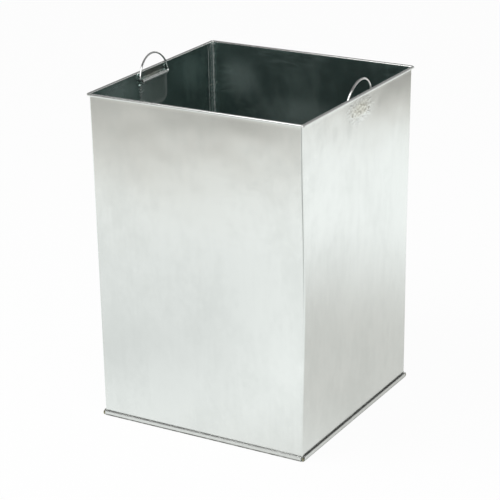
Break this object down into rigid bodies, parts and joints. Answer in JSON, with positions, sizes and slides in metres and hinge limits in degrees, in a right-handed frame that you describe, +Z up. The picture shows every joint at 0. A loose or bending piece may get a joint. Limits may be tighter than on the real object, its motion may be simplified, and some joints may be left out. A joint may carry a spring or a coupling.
{
  "type": "waste bin liner can",
  "caption": "Tall open square liner can of galvanized sheet steel with a wired rim, a folded foot seam and a hinged wire bail inside each of two opposite walls.",
  "frame": {"origin": "middle of the square footprint, on the floor", "axes": "+Z up; the bails hang on the -X and +X walls; the lap of the sheet is in the corner at -X, +Y"},
  "size_m": [0.381, 0.381, 0.5685],
  "materials": {
    "galvanized_sheet": "satin zinc coat, smooth, faintly streaked",
    "rim_wire": "zinc-coated wire",
    "strap_steel": "satin zinc coat",
    "bail_wire": "bright zinc-plated wire"
  },
  "bodies": {
    "can": {"wrapper": "galvanized_sheet", "bottom_pan": "galvanized_sheet", "rim_wire": "rim_wire", "handle_strap_left": "strap_steel", "handle_strap_right": "strap_steel"},
    "bail_left": {"handle_bail_left": "bail_wire"},
    "bail_right": {"handle_bail_right": "bail_wire"}
  },
  "joints": [
    {"name": "bail_left_hinge", "type": "hinge", "parent": "can", "child": "bail_left", "pos_m": [-0.18205, -0.005, 0.5274], "axis": [0, 1, 0], "range_deg": [0, 187]},
    {"name": "bail_right_hinge", "type": "hinge", "parent": "can", "child": "bail_right", "pos_m": [0.18205, 0.003, 0.5274], "axis": [0, -1, 0], "range_deg": [0, 187]}
  ]
}
